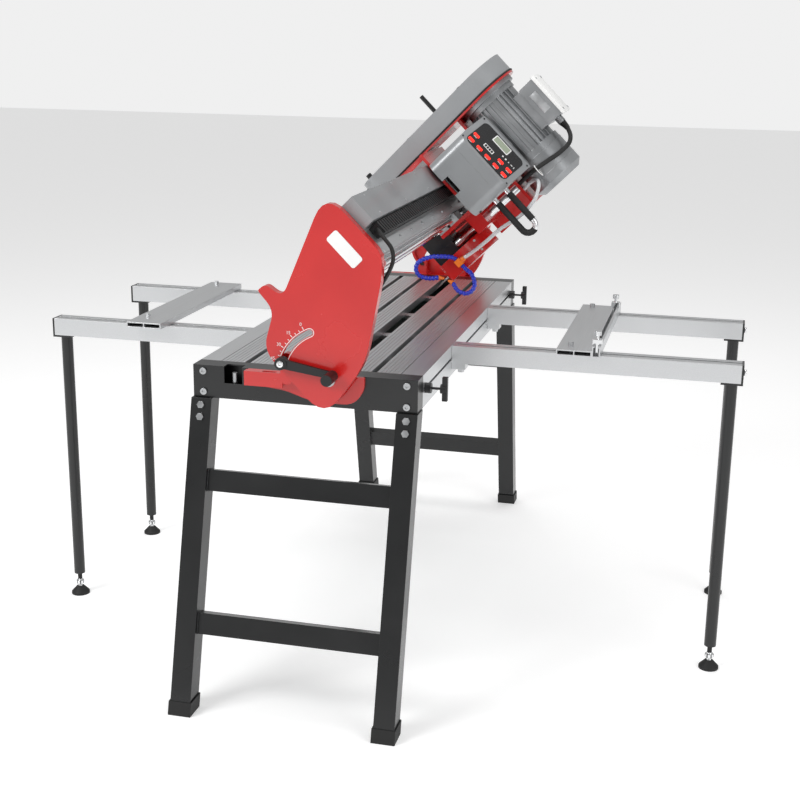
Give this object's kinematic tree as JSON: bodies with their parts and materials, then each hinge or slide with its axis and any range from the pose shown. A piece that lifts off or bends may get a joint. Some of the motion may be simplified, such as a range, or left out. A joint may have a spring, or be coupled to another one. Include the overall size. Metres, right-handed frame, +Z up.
{
  "type": "wet tile saw",
  "caption": "Tilting-bridge wet tile saw with a motor-driven blade, slatted water table, splayed leg frames and side extension rails on outrigger legs.",
  "frame": {"origin": "on the floor, under the middle of the machine's bounding box", "axes": "+Z up, +Y along the table and the bridge from the operator's end, +X to the operator's right"},
  "size_m": [1.806, 1.7148, 1.4901],
  "materials": {
    "black_frame": "satin black powder coat",
    "red_paint": "gloss red enamel",
    "grey_paint": "satin grey paint",
    "aluminium_rail": "satin anodised",
    "aluminium_cast": "silver painted casting",
    "chrome_rod": "polished",
    "steel_parts": "machined steel",
    "blade_steel": "ground blade with a diamond rim",
    "galvanised_tray": "dark moulded tray",
    "black_plastic": "moulded black plastic",
    "panel_black": "membrane",
    "key_red": "lit red key",
    "black_rubber": "moulded rubber",
    "orange_plastic": "moulded fitting",
    "clear_hose": "clear flexible tube",
    "blue_hose": "segmented nozzle hose"
  },
  "bodies": {
    "stand": {"end_beams": "black_frame", "side_rails": "aluminium_rail", "table_slats": "aluminium_rail", "water_tray": "galvanised_tray", "leg_frames": "black_frame", "leg_foot_caps": "black_rubber", "frame_bolts": "steel_parts", "base_brackets": "red_paint"},
    "bridge": {"tilt_plates": "red_paint", "bridge_beam": "aluminium_rail", "guide_rods": "chrome_rod", "beam_cover": "grey_paint", "cable_chain": "black_plastic", "power_cable": "black_rubber"},
    "front_lever": {"front_lock_lever": "black_plastic"},
    "rear_lever": {"rear_lock_lever": "black_plastic"},
    "front_knob": {"front_rail_knob": "black_plastic"},
    "rear_knob": {"rear_rail_knob": "black_plastic"},
    "carriage": {"carriage_saddle": "red_paint", "carriage_bearings": "steel_parts", "control_box": "grey_paint", "control_bezel": "grey_paint", "control_panel": "panel_black", "push_handle": "black_rubber"},
    "key_1": {"key_1": "key_red"},
    "key_2": {"key_2": "key_red"},
    "key_3": {"key_3": "key_red"},
    "key_4": {"key_4": "key_red"},
    "key_5": {"key_5": "key_red"},
    "key_6": {"key_6": "key_red"},
    "key_7": {"key_7": "key_red"},
    "key_8": {"key_8": "key_red"},
    "head": {"head_frame": "red_paint", "plunge_rods": "chrome_rod", "motor_housing": "aluminium_cast", "motor_fan_cover": "aluminium_cast", "terminal_box": "aluminium_cast", "drive_belt": "black_rubber", "belt_cover": "grey_paint", "cover_knobs": "black_plastic", "spindle_housing": "black_frame", "blade_guard": "red_paint", "coolant_manifold": "orange_plastic", "coolant_hoses": "blue_hose", "motor_cable": "black_rubber"},
    "motor": {"motor_rotor": "steel_parts"},
    "spindle": {"spindle_shaft": "steel_parts", "saw_blade": "blade_steel"},
    "left_extension": {"left_rails": "aluminium_rail", "left_outriggers": "black_frame"},
    "right_extension": {"right_rails": "aluminium_rail", "right_outriggers": "black_frame"},
    "left_plate": {"left_cross_plate": "aluminium_rail"},
    "right_plate": {"right_cross_plate": "aluminium_rail"},
    "front_stop": {"front_stop": "chrome_rod"},
    "rear_stop": {"rear_stop": "chrome_rod"},
    "foot_1": {"foot_1": "black_rubber"},
    "foot_2": {"foot_2": "black_rubber"},
    "foot_3": {"foot_3": "black_rubber"},
    "foot_4": {"foot_4": "black_rubber"}
  },
  "joints": [
    {"name": "bridge_tilt", "type": "hinge", "parent": "stand", "child": "bridge", "pos_m": [-0.001, 0, 0.8], "axis": [0, -1, 0], "range_deg": [0, 45]},
    {"name": "front_lever_turn", "type": "hinge", "parent": "stand", "child": "front_lever", "pos_m": [-0.10839, -0.718, 0.83181], "axis": [0, -1, 0], "range_deg": [0, 60]},
    {"name": "rear_lever_turn", "type": "hinge", "parent": "stand", "child": "rear_lever", "pos_m": [-0.10839, 0.718, 0.83181], "axis": [0, -1, 0], "range_deg": [0, 60]},
    {"name": "front_knob_turn", "type": "hinge", "parent": "stand", "child": "front_knob", "pos_m": [0.191, -0.583, 0.7635], "axis": [1, 0, 0], "range_deg": [-180, 180]},
    {"name": "rear_knob_turn", "type": "hinge", "parent": "stand", "child": "rear_knob", "pos_m": [0.191, 0.583, 0.7635], "axis": [1, 0, 0], "range_deg": [-180, 180]},
    {"name": "carriage_slide", "type": "slide", "parent": "bridge", "child": "carriage", "axis": [0, 1, 0], "range_m": [-0.66, 0.34]},
    {"name": "key_1_press", "type": "slide", "parent": "carriage", "child": "key_1", "axis": [-0.6124, 0.5, -0.6124], "range_m": [0, 0.0008], "stiffness_N_per_m": 1500},
    {"name": "key_2_press", "type": "slide", "parent": "carriage", "child": "key_2", "axis": [-0.6124, 0.5, -0.6124], "range_m": [0, 0.0008], "stiffness_N_per_m": 1500},
    {"name": "key_3_press", "type": "slide", "parent": "carriage", "child": "key_3", "axis": [-0.6124, 0.5, -0.6124], "range_m": [0, 0.0008], "stiffness_N_per_m": 1500},
    {"name": "key_4_press", "type": "slide", "parent": "carriage", "child": "key_4", "axis": [-0.6124, 0.5, -0.6124], "range_m": [0, 0.0008], "stiffness_N_per_m": 1500},
    {"name": "key_5_press", "type": "slide", "parent": "carriage", "child": "key_5", "axis": [-0.6124, 0.5, -0.6124], "range_m": [0, 0.0008], "stiffness_N_per_m": 1500},
    {"name": "key_6_press", "type": "slide", "parent": "carriage", "child": "key_6", "axis": [-0.6124, 0.5, -0.6124], "range_m": [0, 0.0008], "stiffness_N_per_m": 1500},
    {"name": "key_7_press", "type": "slide", "parent": "carriage", "child": "key_7", "axis": [-0.6124, 0.5, -0.6124], "range_m": [0, 0.0008], "stiffness_N_per_m": 1500},
    {"name": "key_8_press", "type": "slide", "parent": "carriage", "child": "key_8", "axis": [-0.6124, 0.5, -0.6124], "range_m": [0, 0.0008], "stiffness_N_per_m": 1500},
    {"name": "head_plunge", "type": "slide", "parent": "carriage", "child": "head", "axis": [-0.7071, 0, -0.7071], "range_m": [0, 0.08]},
    {"name": "motor_spin", "type": "hinge", "parent": "head", "child": "motor", "pos_m": [0.26629, 0.212, 1.27942], "axis": [0.7071, 0, -0.7071], "continuous": true},
    {"name": "spindle_spin", "type": "hinge", "parent": "head", "child": "spindle", "pos_m": [0.04284, 0.212, 0.98526], "axis": [0.7071, 0, -0.7071], "continuous": true},
    {"name": "left_extension_slide", "type": "slide", "parent": "stand", "child": "left_extension", "axis": [0, 1, 0], "range_m": [-0.25, 0.3]},
    {"name": "right_extension_slide", "type": "slide", "parent": "stand", "child": "right_extension", "axis": [0, 1, 0], "range_m": [-0.25, 0.3]},
    {"name": "left_plate_slide", "type": "slide", "parent": "left_extension", "child": "left_plate", "axis": [1, 0, 0], "range_m": [-0.2, 0.19]},
    {"name": "right_plate_slide", "type": "slide", "parent": "right_extension", "child": "right_plate", "axis": [1, 0, 0], "range_m": [-0.24, 0.3]},
    {"name": "front_stop_slide", "type": "slide", "parent": "right_plate", "child": "front_stop", "axis": [0, 1, 0], "range_m": [-0.02, 0.2]},
    {"name": "rear_stop_slide", "type": "slide", "parent": "right_plate", "child": "rear_stop", "axis": [0, 1, 0], "range_m": [-0.22, 0.04]},
    {"name": "foot_1_height", "type": "slide", "parent": "left_extension", "child": "foot_1", "axis": [0, 0, 1], "range_m": [0, 0.017]},
    {"name": "foot_2_height", "type": "slide", "parent": "left_extension", "child": "foot_2", "axis": [0, 0, 1], "range_m": [0, 0.017]},
    {"name": "foot_3_height", "type": "slide", "parent": "right_extension", "child": "foot_3", "axis": [0, 0, 1], "range_m": [0, 0.017]},
    {"name": "foot_4_height", "type": "slide", "parent": "right_extension", "child": "foot_4", "axis": [0, 0, 1], "range_m": [0, 0.017]}
  ],
  "couplings": [
    {"joint": "spindle_spin", "follows": "motor_spin", "ratio": 1.375}
  ]
}
